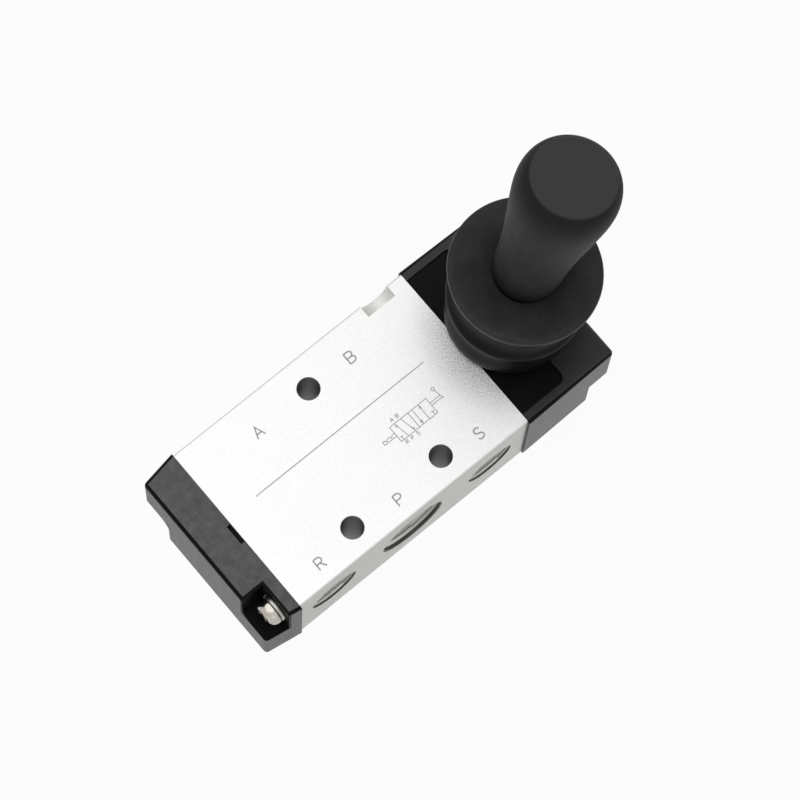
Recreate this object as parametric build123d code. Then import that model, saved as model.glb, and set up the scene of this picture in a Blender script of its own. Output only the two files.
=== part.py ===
from build123d import *
import os
from math import cos, radians, sin

# Hand lever air valve: five ports, two positions held by a detent.
# +X runs along the spool from the end cap to the lever housing, +Y points to the
# two-port side and +Z to the labelled front. The origin lies in the back face,
# under the crossing of the spool's axis and the pressure port's axis.
# All lengths are millimetres and all angles are degrees.

# --- valve body -----------------------------------------------------------------
body_length = 52.0
body_width = 35.0
body_depth = 22.0
body_edge_chamfer = 0.3
spool_bore_radius = 6.0
chamber_radius = 7.2
chamber_half_width = 2.0
pressure_chamber_half_width = 2.6

main_port_radius = 6.58
main_port_depth = 9.5
main_passage_radius = 3.6
exhaust_port_radius = 4.86
exhaust_port_depth = 8.5
exhaust_passage_radius = 3.0
outlet_port_x = 10.5
exhaust_port_x = 18.0
port_mouth_chamfer = 0.4

mounting_hole_radius = 2.15
upper_mounting_inset = 5.8
lower_mounting_inset = 5.0
lower_mounting_x = 10.1

locating_notch_inset = 6.3
locating_notch_radius = 3.1
locating_notch_depth = 2.45

# --- end pieces -----------------------------------------------------------------
end_piece_width = 36.0
end_edge_radius = 0.8
cap_length = 7.3
cap_outer_width = 33.6
housing_length = 20.0
housing_outer_width = 35.2
gasket_thickness = 0.6
gasket_margin_y = 1.4
gasket_margin_z = 1.2
gasket_corner_radius = 2.0
gasket_clearance = 0.1
gasket_hole_radius = 6.4
vent_slot_width = 4.0
vent_slot_y = -0.4
vent_slot_reach = 0.9
vent_slot_depth = 1.9

# --- end screws, one pair for each end piece, on a diagonal ------------------------
screw_inset_y = 3.5
screw_inset_z = 4.8
screw_radius = 1.48
screw_hole_radius = 1.6
tapped_hole_radius = 1.5
tapped_hole_depth = 6.0
screw_grip_in_body = 5.2
screw_head_radius = 2.7
screw_head_height = 2.1
screw_head_chamfer = 0.8
washer_outer_radius = 2.75
washer_thickness = 0.8
washer_gap = 0.5
washer_gap_angle = 20.0
notch_margin = 3.7
notch_corner_radius = 2.6
cap_notch_depth = 4.7
cap_notch_height = 11.0
housing_notch_depth = 4.8
housing_notch_height = 9.5

# --- spool ----------------------------------------------------------------------
land_radius = 5.75
neck_radius = 3.5
land_margin = 1.3
spool_end_overhang = 1.1
seal_radius = 5.97
seal_width = 1.4
seal_groove_radius = 4.75
seal_groove_play = 0.05
inner_seal_x = 2.6
middle_seal_inset = 1.55
outer_seal_inset = 3.0
wear_ring_overhang = 1.9
wear_ring_width = 1.6
wear_ring_radius = 5.96
spool_shoulder_inset = 1.8

# --- shift spindle ----------------------------------------------------------------
running_clearance = 0.05
spindle_radius = 4.95
spindle_beyond_slot = 3.1
spindle_stub_radius = 2.0
spindle_stub_length = 4.2
spindle_stub_clearance = 0.02
slot_floor_drop = 0.45
bumper_thickness = 1.0
bumper_radius = 4.7
bumper_gap = 0.3
cap_cavity_radius = 6.2

# --- lever and its turret -----------------------------------------------------------
lever_tilt = 11.65
pivot_height = 3.0
pivot_shift = -0.73
shift_ball_rise = 3.1
pivot_pin_radius = 1.5
pin_press_clearance = 0.01
hub_radius = 3.4
hub_half_width = 4.9
side_play = 0.1
arm_half_thickness = 2.3
arm_length = 7.5
arm_neck_radius = 1.5
shift_ball_radius = 2.2
rod_radius = 2.5
turret_from_joint = 10.0
turret_radius = 8.2
turret_height = 6.6
turret_bead = 0.5
turret_bead_drop = 1.3
turret_bead_width = 0.9
pivot_pin_half_length = 7.8
cavity_half_length = 5.9
cavity_corner_radius = 2.0
front_recess_depth = 0.5
front_recess_length = 10.2
front_recess_margin = 1.6
front_recess_corner = 1.5

# --- detent in the lever's arm ------------------------------------------------------
detent_drop = 6.0
detent_ball_radius = 1.2
detent_lift = 0.35
detent_bore_clearance = 0.05
detent_wall_clearance = 0.02
detent_wire_radius = 0.2
detent_spring_radius = 0.85
detent_spring_turns = 3

# --- grip -------------------------------------------------------------------------
grip_sink = 0.45
grip_foot_radius = 6.2
grip_belly_length = 26.95
grip_belly_radius = 8.73
grip_length = 37.45
grip_end_radius = 7.3
grip_end_round = 0.5
grip_neck_radius = 5.2
grip_neck_length = 2.9
grip_collar_length = 1.3
insert_radius = 3.9
insert_length = 16.0
grip_bore_length = 30.0
rod_fit_clearance = 0.02

# --- rubber boot --------------------------------------------------------------------
boot_foot_gap = 0.3
boot_height = 20.9
boot_lean = 0.7
boot_top_shift = 2.8
boot_top_tilt = 6.4
boot_wall = 1.3
boot_rim_radius = 13.75
boot_rim_start = 0.92
boot_ring_radius = 12.6
boot_bulge_radius = 11.8
boot_foot_radius = 11.2
boot_groove_radius = 11.4
boot_dish_radius = 7.4
boot_dish_depth = 1.4
boot_web_thickness = 1.2
boot_lip_radius = 9.8
boot_lip_height = 1.2
boot_bead_room = 0.8
boot_grip_fit = 0.02
boot_fit_clearance = 0.3

# --- values worked out from the sizes above ------------------------------------------
half_length = body_length / 2
half_width = body_width / 2
spool_z = body_depth / 2
upper_mounting_y = half_width - upper_mounting_inset
lower_mounting_y = lower_mounting_inset - half_width
locating_notch_x = half_length - locating_notch_inset
screw_y = half_width - screw_inset_y
screw_offset_z = spool_z - screw_inset_z
notch_inner_y = screw_y - notch_margin
cap_end_x = -half_length - cap_length
housing_end_x = half_length + housing_length
recess_floor_z = body_depth - front_recess_depth
recess_end_x = half_length + front_recess_length
recess_half_width = half_width - front_recess_margin

turret_x = half_length + turret_from_joint
turret_top_z = recess_floor_z + turret_height
turret_bead_z = turret_top_z - turret_bead_drop
pivot_x = turret_x + pivot_shift
pivot_z = body_depth + pivot_height
lower_arm = pivot_z - spool_z - shift_ball_rise
cavity_half_width = hub_half_width + side_play

spool_stroke = 2 * lower_arm * sin(radians(lever_tilt))
spool_rest_x = -spool_stroke / 2
middle_seal_x = exhaust_port_x - middle_seal_inset
outer_seal_x = half_length - outer_seal_inset
wear_ring_x = exhaust_port_x + wear_ring_overhang
centre_land_half = inner_seal_x + land_margin
end_land_start = middle_seal_x - land_margin
spool_shoulder_x = half_length - spool_shoulder_inset
spool_start_x = -half_length - spool_end_overhang - spool_rest_x
slot_half_width = shift_ball_radius + running_clearance
spindle_end_x = pivot_x + slot_half_width + spindle_beyond_slot
housing_bore_end_x = spindle_end_x - spool_rest_x + bumper_gap + bumper_thickness
cap_bumper_face_x = spool_start_x + spool_rest_x - bumper_gap

boot_foot_z = body_depth + boot_foot_gap
boot_top_x = turret_x + boot_top_shift
boot_top_z = boot_foot_z + boot_height
boot_lip_top_z = body_depth + boot_lip_height
grip_start = (boot_top_z - pivot_z) / cos(radians(lever_tilt)) - grip_sink
grip_belly = grip_start + grip_belly_length
grip_end = grip_start + grip_length
cut_over = 1.0


def block(x_range, y_range, z_range):
    """A box between two corners, given as a range on each axis."""
    centre = [(low + high) / 2 for low, high in (x_range, y_range, z_range)]
    size = [high - low for low, high in (x_range, y_range, z_range)]
    return Pos(*centre) * Box(*size)


def rod_x(radius, x_start, x_end, y=0.0, z=spool_z):
    """A cylinder along X."""
    return Pos((x_start + x_end) / 2, y, z) * Rot(0, 90, 0) * Cylinder(radius, x_end - x_start)


def rod_y(radius, y_start, y_end, x, z):
    """A cylinder along Y."""
    return Pos(x, (y_start + y_end) / 2, z) * Rot(90, 0, 0) * Cylinder(radius, y_end - y_start)


def rod_z(radius, z_start, z_end, x, y):
    """A cylinder along Z."""
    return Pos(x, y, (z_start + z_end) / 2) * Cylinder(radius, z_end - z_start)


def diagonal_twin(shape):
    """The same shape turned half a turn about the spool's axis."""
    return Pos(0, 0, spool_z) * Rot(180, 0, 0) * Pos(0, 0, -spool_z) * shape


def with_twin(shape):
    """A shape and its diagonal twin."""
    return [shape, diagonal_twin(shape)]


def on_lever(shape):
    """Places a shape, drawn along +Z from the pivot, on the tilted lever."""
    return Pos(pivot_x, 0, pivot_z) * Rot(0, lever_tilt, 0) * shape


# --- valve body ----------------------------------------------------------------------
def port(radius, depth, passage_radius, x, side):
    """A port bore with its passage to the spool; side is +1 or -1 along Y."""
    mouth = side * half_width
    floor = side * (half_width - depth)
    bore = rod_y(radius, *sorted((mouth + side * cut_over, floor)), x, spool_z)
    passage = rod_y(passage_radius, *sorted((floor + side, 0.0)), x, spool_z)
    lip_radius = radius + port_mouth_chamfer
    lip = Pos(x, mouth - side * port_mouth_chamfer / 2, spool_z) * Rot(-side * 90, 0, 0) * Cone(
        radius, lip_radius, port_mouth_chamfer
    )
    return bore + passage + lip


def body_screw_holes():
    """The tapped holes at both ends of the body."""
    at_cap = rod_x(
        tapped_hole_radius,
        -half_length - cut_over,
        -half_length + tapped_hole_depth,
        -screw_y,
        spool_z + screw_offset_z,
    )
    at_housing = rod_x(
        tapped_hole_radius,
        half_length - tapped_hole_depth,
        half_length + cut_over,
        -screw_y,
        spool_z - screw_offset_z,
    )
    return with_twin(at_cap) + with_twin(at_housing)


def make_valve_body():
    """The bar of aluminium with its spool bore, chambers, ports and mounting holes."""
    body = block((-half_length, half_length), (-half_width, half_width), (0, body_depth))
    body = chamfer(body.edges().filter_by(Axis.X), body_edge_chamfer)
    body -= rod_x(spool_bore_radius, -half_length - cut_over, half_length + cut_over)
    chambers = {
        0.0: pressure_chamber_half_width,
        -outlet_port_x: chamber_half_width,
        outlet_port_x: chamber_half_width,
        -exhaust_port_x: chamber_half_width,
        exhaust_port_x: chamber_half_width,
    }
    for x, half in chambers.items():
        body -= rod_x(chamber_radius, x - half, x + half)
    body -= port(main_port_radius, main_port_depth, main_passage_radius, 0.0, -1)
    for side in (-1, 1):
        body -= port(
            exhaust_port_radius,
            exhaust_port_depth,
            exhaust_passage_radius,
            side * exhaust_port_x,
            -1,
        )
        body -= port(
            main_port_radius, main_port_depth, main_passage_radius, side * outlet_port_x, 1
        )
    mounting = (
        (0.0, upper_mounting_y),
        (-lower_mounting_x, lower_mounting_y),
        (lower_mounting_x, lower_mounting_y),
    )
    for x, y in mounting:
        body -= rod_z(mounting_hole_radius, -cut_over, body_depth + cut_over, x, y)
    for hole in body_screw_holes():
        body -= hole
    body -= rod_y(
        locating_notch_radius,
        half_width - locating_notch_depth,
        half_width + cut_over,
        locating_notch_x,
        body_depth,
    )
    return body


# --- end pieces -----------------------------------------------------------------------
def tapered_block(joint_x, end_x, end_width):
    """An end piece's outer block: wide at the joint, narrower at its outer end."""
    outline = make_face(
        Polyline(
            (joint_x, -end_piece_width / 2),
            (end_x, -end_width / 2),
            (end_x, end_width / 2),
            (joint_x, end_piece_width / 2),
            close=True,
        )
    )
    solid = extrude(outline, body_depth)
    outer = solid.edges().filter_by(lambda edge: abs(edge.center().X - joint_x) > 1.0)
    return fillet(outer, end_edge_radius)


def screw_notch(seat_x, end_x, height):
    """The open corner over a screw head, at the -Y side below the front face."""
    x_range = sorted((seat_x, end_x + (end_x - seat_x)))
    z_floor = body_depth - height
    notch = block(
        x_range,
        (-end_piece_width, -notch_inner_y),
        (z_floor, body_depth + cut_over),
    )
    inner_edge = notch.edges().filter_by(Axis.X).sort_by_distance(
        (seat_x, -notch_inner_y, z_floor)
    )[0]
    return fillet(inner_edge, notch_corner_radius)


def gasket_outline(thickness, x_start, margin):
    """A rounded plate in the YZ plane, grown by a margin."""
    plate = RectangleRounded(
        body_width - 2 * gasket_margin_y + 2 * margin,
        body_depth - 2 * gasket_margin_z + 2 * margin,
        gasket_corner_radius,
    )
    return extrude(Plane((x_start, 0, spool_z), x_dir=(0, 1, 0), z_dir=(1, 0, 0)) * plate, thickness)


def make_gasket(x_start, screw_z):
    """A sheet gasket with holes for the spool and the two screws."""
    gasket = gasket_outline(gasket_thickness, x_start, 0.0)
    x_end = x_start + gasket_thickness
    gasket -= rod_x(gasket_hole_radius, x_start - cut_over, x_end + cut_over)
    hole = rod_x(screw_hole_radius, x_start - cut_over, x_end + cut_over, -screw_y, screw_z)
    for cut in with_twin(hole):
        gasket -= cut
    return gasket


def make_end_cap():
    """The moulded cap that closes the bore and backs the spool's stop."""
    seat_x = cap_end_x + cap_notch_depth
    cap = tapered_block(-half_length, cap_end_x, cap_outer_width)
    for notch in with_twin(screw_notch(seat_x, cap_end_x, cap_notch_height)):
        cap -= notch
    gasket_x = -half_length - gasket_thickness
    cap -= gasket_outline(gasket_thickness + cut_over, gasket_x, gasket_clearance)
    cap -= rod_x(cap_cavity_radius, cap_bumper_face_x - bumper_thickness, -half_length)
    hole = rod_x(
        screw_hole_radius, seat_x - cut_over, -half_length, -screw_y, spool_z + screw_offset_z
    )
    for cut in with_twin(hole):
        cap -= cut
    vent = block(
        (-half_length - vent_slot_reach, -half_length + cut_over),
        (vent_slot_y - vent_slot_width / 2, vent_slot_y + vent_slot_width / 2),
        (body_depth - vent_slot_depth, body_depth + cut_over),
    )
    return cap - vent


def lever_cavity():
    """The space for the lever's arm: a rounded shaft over the spindle's bore."""
    shaft = block(
        (turret_x - cavity_half_length, turret_x + cavity_half_length),
        (-cavity_half_width, cavity_half_width),
        (spool_z, turret_top_z + cut_over),
    )
    shaft = fillet(shaft.edges().filter_by(Axis.Z), cavity_corner_radius)
    return shaft + rod_x(spindle_radius + running_clearance, half_length, housing_bore_end_x)


def detent_sockets():
    """Round seats in both side walls of the cavity, one pair for each position."""
    seat_y = hub_half_width + side_play - detent_ball_radius + detent_lift
    reach = detent_drop * sin(radians(lever_tilt))
    seat_z = pivot_z - detent_drop * cos(radians(lever_tilt))
    ball = Sphere(detent_ball_radius + detent_bore_clearance)
    return [
        Pos(pivot_x + way * reach, side * seat_y, seat_z) * ball
        for way in (-1, 1)
        for side in (-1, 1)
    ]


def make_lever_housing():
    """The housing that carries the lever on a turret and guides the spindle."""
    seat_x = housing_end_x - housing_notch_depth
    housing = tapered_block(half_length, housing_end_x, housing_outer_width)
    recess = block(
        (half_length - cut_over, recess_end_x),
        (-recess_half_width, recess_half_width),
        (recess_floor_z, body_depth + cut_over),
    )
    corners = recess.edges().filter_by(Axis.Z).group_by(Axis.X)[-1]
    housing -= fillet(corners, front_recess_corner)
    notch = diagonal_twin(screw_notch(seat_x, housing_end_x, housing_notch_height))
    for cut in with_twin(mirror(notch, about=Plane.XZ)):
        housing -= cut
    housing += rod_z(turret_radius, recess_floor_z - cut_over, turret_top_z, turret_x, 0.0)
    housing += rod_z(
        turret_radius + turret_bead,
        turret_bead_z,
        turret_bead_z + turret_bead_width,
        turret_x,
        0.0,
    )
    housing -= gasket_outline(gasket_thickness + cut_over, half_length - cut_over, gasket_clearance)
    land_space_end = spool_shoulder_x - spool_rest_x + bumper_gap
    housing -= rod_x(cap_cavity_radius, half_length, land_space_end)
    housing -= lever_cavity()
    for socket in detent_sockets():
        housing -= socket
    housing -= rod_y(
        pivot_pin_radius + pin_press_clearance,
        -turret_radius - cut_over,
        turret_radius + cut_over,
        pivot_x,
        pivot_z,
    )
    hole = rod_x(
        screw_hole_radius, half_length, seat_x + cut_over, -screw_y, spool_z - screw_offset_z
    )
    for cut in with_twin(hole):
        housing -= cut
    return housing


# --- fasteners --------------------------------------------------------------------------
def end_screw(seat_x, outward, z):
    """A pan head screw along X; outward is the side its head points to."""
    under_head = seat_x + outward * washer_thickness
    tip = outward * (half_length - screw_grip_in_body)
    shank = rod_x(screw_radius, *sorted((tip, under_head)), -screw_y, z)
    head = rod_x(
        screw_head_radius,
        *sorted((under_head, under_head + outward * screw_head_height)),
        -screw_y,
        z,
    )
    crown = head.edges().filter_by(GeomType.CIRCLE).sort_by(Axis.X)[-1 if outward > 0 else 0]
    return shank + chamfer(crown, screw_head_chamfer)


def spring_washer(seat_x, outward, z):
    """A split washer under a screw head."""
    faces = sorted((seat_x, seat_x + outward * washer_thickness))
    ring = rod_x(washer_outer_radius, *faces, -screw_y, z)
    ring -= rod_x(screw_hole_radius, faces[0] - cut_over, faces[1] + cut_over, -screw_y, z)
    split = Box(3 * washer_thickness, washer_gap, washer_outer_radius)
    split = Rot(0, 0, washer_gap_angle) * Pos(0, 0, washer_outer_radius / 2 + 1.0) * split
    return ring - Pos(sum(faces) / 2, -screw_y, z) * split


# --- spool -------------------------------------------------------------------------------
def ring_x(outer_radius, inner_radius, centre_x, width):
    """A flat ring around the spool's axis."""
    x_start = centre_x - width / 2
    x_end = centre_x + width / 2
    ring = rod_x(outer_radius, x_start, x_end)
    return ring - rod_x(inner_radius, x_start - cut_over, x_end + cut_over)


def both_ways(*distances):
    """Each distance to both sides of the spool's middle, moved to the rest position."""
    return [side * distance + spool_rest_x for distance in distances for side in (-1, 1)]


def make_spool():
    """The turned spool: lands, necks and ring grooves, drawn at its rest position."""
    spool_end = spool_shoulder_x + spool_rest_x
    spool = rod_x(land_radius, spool_start_x + spool_rest_x, spool_end)
    neck_length = end_land_start - centre_land_half
    for x in both_ways((end_land_start + centre_land_half) / 2):
        spool -= ring_x(land_radius + cut_over, neck_radius, x, neck_length)
    for x in both_ways(inner_seal_x, middle_seal_x, outer_seal_x):
        spool -= ring_x(
            land_radius + cut_over, seal_groove_radius, x, seal_width + 2 * seal_groove_play
        )
    for x in both_ways(wear_ring_x):
        spool -= ring_x(
            land_radius + cut_over, seal_groove_radius, x, wear_ring_width + 2 * seal_groove_play
        )
    stub_hole = spool_end - spindle_stub_length - cut_over
    spool -= rod_x(spindle_stub_radius + spindle_stub_clearance, stub_hole, spool_end + cut_over)
    return spool


def make_spool_rings(radius, width, *distances):
    """Rings seated in the spool's grooves, a little clear of their floor."""
    inner = seal_groove_radius + seal_groove_play
    return Compound(
        children=[ring_x(radius, inner, x, width) for x in both_ways(*distances)]
    )


def make_shift_spindle():
    """The spindle screwed into the spool, with the cross slot for the lever's ball."""
    start = spool_shoulder_x + spool_rest_x
    end = spindle_end_x + spool_rest_x
    spindle = rod_x(spindle_radius, start, end)
    spindle = chamfer(spindle.edges().filter_by(GeomType.CIRCLE).sort_by(Axis.X)[-1], 0.4)
    centre = pivot_x + spool_rest_x
    slot_floor_z = pivot_z - lower_arm - shift_ball_radius - slot_floor_drop
    spindle -= block(
        (centre - slot_half_width, centre + slot_half_width),
        (-2 * spindle_radius, 2 * spindle_radius),
        (slot_floor_z, spool_z + 2 * spindle_radius),
    )
    return spindle + rod_x(spindle_stub_radius, start - spindle_stub_length, start)


# --- lever -----------------------------------------------------------------------------
def make_lever_rod():
    """The steel lever: hub, flat arm, shifting ball and the rod up into the grip."""
    hub = Rot(90, 0, 0) * Cylinder(hub_radius, 2 * hub_half_width)
    arm = block(
        (-arm_half_thickness, arm_half_thickness), (-hub_half_width, hub_half_width), (-arm_length, 0)
    )
    arm = fillet(arm.edges().filter_by(Axis.Y).group_by(Axis.Z)[0], 0.8)
    neck = rod_z(arm_neck_radius, -lower_arm, -arm_length + 0.5, 0, 0)
    ball = Pos(0, 0, -lower_arm) * Sphere(shift_ball_radius)
    rod = rod_z(rod_radius, 0, grip_start + grip_bore_length - 1.0, 0, 0)
    lever = hub + arm + neck + ball + rod
    lever -= Rot(90, 0, 0) * Cylinder(pivot_pin_radius + running_clearance, 4 * hub_half_width)
    lever -= Pos(0, 0, -detent_drop) * Rot(90, 0, 0) * Cylinder(
        detent_ball_radius + detent_bore_clearance, 4 * hub_half_width
    )
    return on_lever(lever)


def detent_ball_y():
    """How far a detent ball's centre lies from the lever's middle plane."""
    return cavity_half_width - detent_wall_clearance - detent_ball_radius


def make_detent_ball(side):
    """One of the two balls in the arm's cross bore, drawn pushed in."""
    return on_lever(Pos(0, side * detent_ball_y(), -detent_drop) * Sphere(detent_ball_radius))


def make_detent_spring():
    """The coil spring that pushes the two detent balls apart."""
    length = 2 * (detent_ball_y() - detent_ball_radius - detent_wire_radius)
    coil = Helix(length / detent_spring_turns, length, detent_spring_radius)
    wire = Plane(coil @ 0, z_dir=coil % 0) * Circle(detent_wire_radius)
    spring = sweep(wire, path=coil, is_frenet=True)
    return on_lever(Pos(0, length / 2, -detent_drop) * Rot(90, 0, 0) * spring)


def make_grip():
    """The tapered handle, with its neck for the boot and its blind bore for the rod."""
    foot = grip_start
    collar = foot - grip_neck_length
    heel = collar - grip_collar_length
    profile = Polyline(
        (0, heel), (grip_foot_radius, heel), (grip_foot_radius, collar),
        (grip_neck_radius, collar), (grip_neck_radius, foot), (grip_foot_radius, foot),
    )
    side = Spline(
        (grip_foot_radius, foot),
        (grip_belly_radius, grip_belly),
        (grip_end_radius, grip_end),
        tangents=[(0.02, 1.0), (-1.0, 0.75)],
    )
    end = Polyline((grip_end_radius, grip_end), (0, grip_end), (0, heel))
    outline = make_face([*profile.edges(), side, *end.edges()])
    grip = revolve(Plane.XZ * outline, Axis.Z)
    grip -= rod_z(rod_radius + rod_fit_clearance, heel - cut_over, foot + grip_bore_length, 0, 0)
    grip -= rod_z(insert_radius, heel - cut_over, heel + insert_length, 0, 0)
    return on_lever(grip)


def make_grip_insert():
    """The brass bush moulded into the grip."""
    heel = grip_start - grip_neck_length - grip_collar_length
    insert = rod_z(insert_radius, heel, heel + insert_length, 0, 0)
    insert -= rod_z(
        rod_radius + rod_fit_clearance, heel - cut_over, heel + insert_length + cut_over, 0, 0
    )
    return on_lever(insert)


# --- boot ------------------------------------------------------------------------------
def boot_section(height, radius):
    """A round section of the boot; height runs from 0 at its foot to 1 at its top."""
    x = turret_x + height**boot_lean * boot_top_shift
    z = boot_foot_z + height * boot_height
    tilt = radians(height * boot_top_tilt)
    plane = Plane((x, 0, z), x_dir=(cos(tilt), 0, -sin(tilt)), z_dir=(sin(tilt), 0, cos(tilt)))
    return plane * Circle(radius)


def boot_lip():
    """The ring at the boot's foot that stands on the housing, around the turret."""
    lip = rod_z(boot_lip_radius, recess_floor_z, boot_lip_top_z, turret_x, 0)
    step = block(
        (recess_end_x, housing_end_x),
        (-half_width, half_width),
        (recess_floor_z - cut_over, body_depth),
    )
    return lip - step


def make_boot():
    """The rubber boot: a lip round the turret, a bulge, a ring and a broad top disc."""
    outside = (
        (0.00, boot_foot_radius),
        (0.07, boot_bulge_radius),
        (0.19, boot_bulge_radius),
        (0.31, boot_groove_radius),
        (0.41, boot_ring_radius),
        (0.47, boot_ring_radius),
        (0.55, boot_groove_radius),
        (0.70, boot_groove_radius),
        (0.84, boot_groove_radius + 0.8),
        (boot_rim_start, boot_rim_radius),
        (1.00, boot_rim_radius),
    )
    web_underside = 1.0 - (boot_dish_depth + boot_web_thickness) / boot_height
    inside = (
        ((boot_lip_top_z - boot_foot_z) / boot_height, turret_radius + boot_bead_room),
        (0.30, boot_groove_radius - boot_wall),
        (0.43, boot_ring_radius - boot_wall),
        (0.57, boot_groove_radius - boot_wall),
        (0.74, boot_groove_radius - boot_wall),
        (web_underside, boot_groove_radius - boot_wall + 0.6),
    )
    boot = loft([boot_section(*station) for station in outside], ruled=True)
    boot -= loft([boot_section(*station) for station in inside], ruled=True)
    boot += boot_lip()
    boot -= rod_z(
        turret_radius + boot_grip_fit,
        recess_floor_z - cut_over,
        boot_lip_top_z + boot_grip_fit + cut_over,
        turret_x,
        0,
    )
    dish = Cylinder(boot_dish_radius, 2 * boot_dish_depth)
    boot -= Pos(boot_top_x, 0, boot_top_z) * Rot(0, boot_top_tilt, 0) * dish
    neck_hole = grip_neck_radius + boot_fit_clearance
    boot -= on_lever(rod_z(neck_hole, grip_start - 4.0, grip_start + 4.0, 0, 0))
    return boot


# --- write the nodes ----------------------------------------------------------------------
def make_parts():
    """Every node of the valve by name."""
    cap_seat_x = cap_end_x + cap_notch_depth
    housing_seat_x = housing_end_x - housing_notch_depth
    high_z = spool_z + screw_offset_z
    low_z = spool_z - screw_offset_z
    bumper_x = cap_bumper_face_x - bumper_thickness
    end_bumper_x = housing_bore_end_x - bumper_thickness
    return {
        "valve_body": make_valve_body(),
        "end_cap": make_end_cap(),
        "cap_gasket": make_gasket(-half_length - gasket_thickness, high_z),
        "cap_screws": Compound(children=with_twin(end_screw(cap_seat_x, -1, high_z))),
        "cap_spring_washers": Compound(children=with_twin(spring_washer(cap_seat_x, -1, high_z))),
        "cap_bumper": rod_x(bumper_radius, bumper_x, cap_bumper_face_x),
        "lever_housing": make_lever_housing(),
        "housing_gasket": make_gasket(half_length, low_z),
        "housing_screws": Compound(children=with_twin(end_screw(housing_seat_x, 1, low_z))),
        "housing_spring_washers": Compound(
            children=with_twin(spring_washer(housing_seat_x, 1, low_z))
        ),
        "housing_bumper": rod_x(bumper_radius, end_bumper_x, housing_bore_end_x),
        "spool": make_spool(),
        "spool_seals": make_spool_rings(
            seal_radius, seal_width, inner_seal_x, middle_seal_x, outer_seal_x
        ),
        "wear_rings": make_spool_rings(wear_ring_radius, wear_ring_width, wear_ring_x),
        "shift_spindle": make_shift_spindle(),
        "pivot_pin": rod_y(
            pivot_pin_radius, -pivot_pin_half_length, pivot_pin_half_length, pivot_x, pivot_z
        ),
        "lever_rod": make_lever_rod(),
        "detent_ball_left": make_detent_ball(1),
        "detent_ball_right": make_detent_ball(-1),
        "detent_spring": make_detent_spring(),
        "grip": make_grip(),
        "grip_insert": make_grip_insert(),
        "boot": make_boot(),
    }


os.makedirs("parts", exist_ok=True)
for node_name, shape in make_parts().items():
    export_step(shape, f"parts/{node_name}.step")
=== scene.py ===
"""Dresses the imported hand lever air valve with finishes, fine pieces, light and a camera.

Sizes in the classes are millimetres. A mesh becomes metres when it is stored.
"""

import logging
import math
from collections.abc import Iterable, Sequence
from dataclasses import dataclass
from enum import Enum
from functools import cache, cached_property, partial, reduce
from typing import Protocol

import bmesh
import bpy
from mathutils import Matrix, Vector


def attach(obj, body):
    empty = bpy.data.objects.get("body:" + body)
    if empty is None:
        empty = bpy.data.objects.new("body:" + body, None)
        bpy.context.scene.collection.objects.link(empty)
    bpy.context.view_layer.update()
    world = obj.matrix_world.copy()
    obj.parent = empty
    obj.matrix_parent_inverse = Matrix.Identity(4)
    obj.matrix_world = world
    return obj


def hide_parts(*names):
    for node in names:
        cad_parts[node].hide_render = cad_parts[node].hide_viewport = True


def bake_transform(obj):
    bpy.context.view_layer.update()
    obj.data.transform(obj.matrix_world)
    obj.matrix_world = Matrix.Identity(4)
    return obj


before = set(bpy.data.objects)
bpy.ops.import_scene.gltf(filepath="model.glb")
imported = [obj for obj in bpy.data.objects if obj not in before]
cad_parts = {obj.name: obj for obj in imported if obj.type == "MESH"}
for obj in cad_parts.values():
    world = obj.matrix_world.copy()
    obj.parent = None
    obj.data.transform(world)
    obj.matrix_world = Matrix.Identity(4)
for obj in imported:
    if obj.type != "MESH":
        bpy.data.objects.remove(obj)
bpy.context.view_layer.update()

LOG = logging.getLogger("valve")
MM = 0.001
ZERO = (0.0, 0.0, 0.0)
ONES = (1.0, 1.0, 1.0)
WHITE = (*ONES, 1.0)
NOISE_CORE = (0.3, 0.7)  # most of a noise's values
MIX_COLOURS = (6, 7)  # a Mix node's two colour inputs
MIX_RESULT = 2  # its colour output
MERGE_DISTANCE = 1e-4
LOOP_GAP = 1e-6
MITRE_LIMIT = 0.45
LETTER_MIDDLE = (0.34, 0.5)

Point = tuple[float, float]
Point3 = tuple[float, float, float]
Line = Sequence[Point]
Colour = tuple[float, float, float]
Edge = bmesh.types.BMEdge
Socket = bpy.types.NodeSocket
Paint = Colour | Socket
Value = Socket | float | Sequence[float]


class Body(Enum):
    """The rigid bodies that new pieces ride on."""

    FRAME = "valve_frame"
    LEVER = "lever_group"


class Along(Enum):
    """The axis that turned marks go round."""

    X = 0
    Z = 2


@dataclass(frozen=True)
class Box:
    """A box from its low to its high corner, turned about its middle's Z in degrees."""

    low: Point3
    high: Point3
    turn: float = 0.0


# ---- shader trees


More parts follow.
